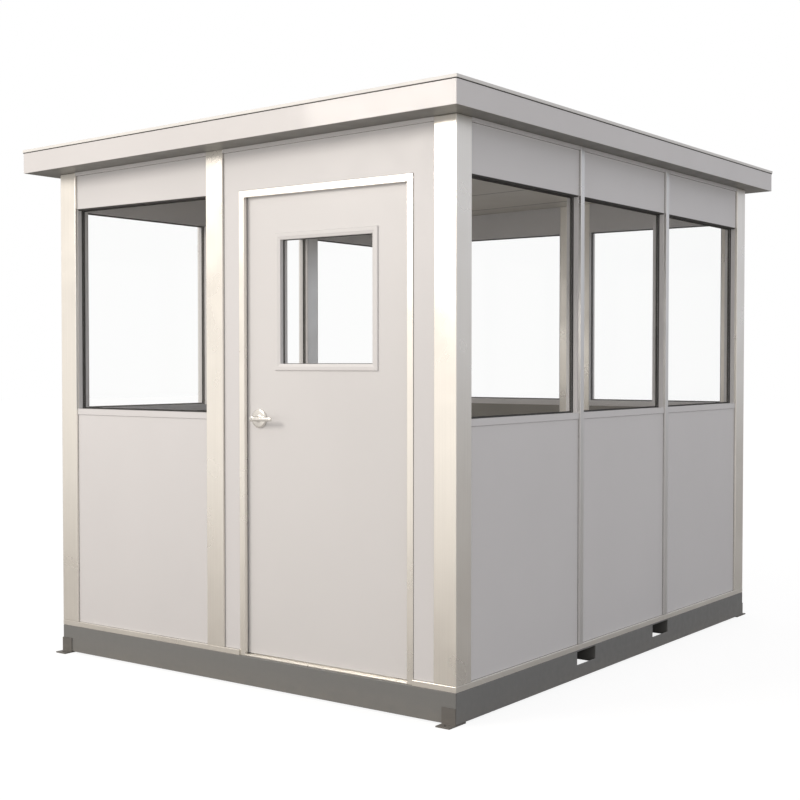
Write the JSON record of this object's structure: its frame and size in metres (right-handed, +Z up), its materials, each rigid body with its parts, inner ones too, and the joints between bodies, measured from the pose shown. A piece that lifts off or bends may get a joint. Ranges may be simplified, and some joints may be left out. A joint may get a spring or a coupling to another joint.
{
  "type": "security guard booth",
  "caption": "Prefabricated panel guard booth on a forkliftable steel base, glazed on all four sides, with a hinged half-glass door and a thin overhanging roof.",
  "frame": {"origin": "centre of the overall box at ground level, under the tie-down clips", "axes": "+X towards the high three-window side wall, +Y along the side walls away from the door wall, +Z up"},
  "size_m": [2.6878, 3.3608, 2.648],
  "materials": {
    "base_paint": "satin dark grey paint on steel",
    "primed_steel": "matt primer",
    "floor_sheet": "mill finish sheet",
    "anodised_trim": "clear satin anodised extrusion",
    "wall_panel": "smooth off-white baked enamel",
    "window_glass": "clear tempered glass",
    "roof_skin": "white enamelled sheet",
    "soffit_liner": "matt grey-brown lining sheet",
    "fascia_paint": "smooth off-white enamel",
    "door_paint": "semi-gloss off-white enamel",
    "hinge_steel": "satin stainless",
    "handle_metal": "satin chrome lever"
  },
  "bodies": {
    "booth": {"base_rail_front": "base_paint", "base_rail_back": "base_paint", "base_rail_left": "base_paint", "base_rail_right": "base_paint", "fork_sleeves": "primed_steel", "floor_joists": "primed_steel", "tie_down_clips": "base_paint", "floor_plate": "floor_sheet", "bottom_track": "anodised_trim", "corner_post_front_right": "anodised_trim", "corner_post_front_left": "anodised_trim", "corner_post_back_right": "anodised_trim", "corner_post_back_left": "anodised_trim", "front_centre_post": "anodised_trim", "back_centre_post": "anodised_trim", "right_studs": "anodised_trim", "left_studs": "anodised_trim", "right_lower_panels": "wall_panel", "left_lower_panels": "wall_panel", "back_lower_panels": "wall_panel", "front_lower_panel": "wall_panel", "right_header_panels": "wall_panel", "left_header_panels": "wall_panel", "back_header_panels": "wall_panel", "front_header_panel": "wall_panel", "doorway_side_panels": "wall_panel", "doorway_header_panel": "wall_panel", "right_window_frames": "anodised_trim", "left_window_frames": "anodised_trim", "back_window_frames": "anodised_trim", "front_window_frame": "anodised_trim", "right_window_glass": "window_glass", "left_window_glass": "window_glass", "back_window_glass": "window_glass", "front_window_glass": "window_glass", "top_track": "anodised_trim", "door_frame": "anodised_trim", "threshold": "anodised_trim", "roof_panel": "soffit_liner", "fascia": "fascia_paint", "roof_cap": "roof_skin", "hinge_jamb_leaves": "hinge_steel"},
    "door": {"door_leaf": "door_paint", "door_lite_trim": "door_paint", "door_lite_glass": "window_glass", "hinge_door_leaves": "hinge_steel", "handle_roses": "handle_metal"},
    "handle": {"lever_handle": "handle_metal"}
  },
  "joints": [
    {"name": "door_swing", "type": "hinge", "parent": "booth", "child": "door", "pos_m": [0.989, -1.4375, 1.215], "axis": [0, 0, -1], "range_deg": [0, 90]},
    {"name": "handle_turn", "type": "hinge", "parent": "door", "child": "handle", "pos_m": [0.11975, -1.467, 1.249], "axis": [0, 1, 0], "range_deg": [0, 45], "stiffness_Nm_per_rad": 1.5, "springref_deg": -17.19}
  ]
}
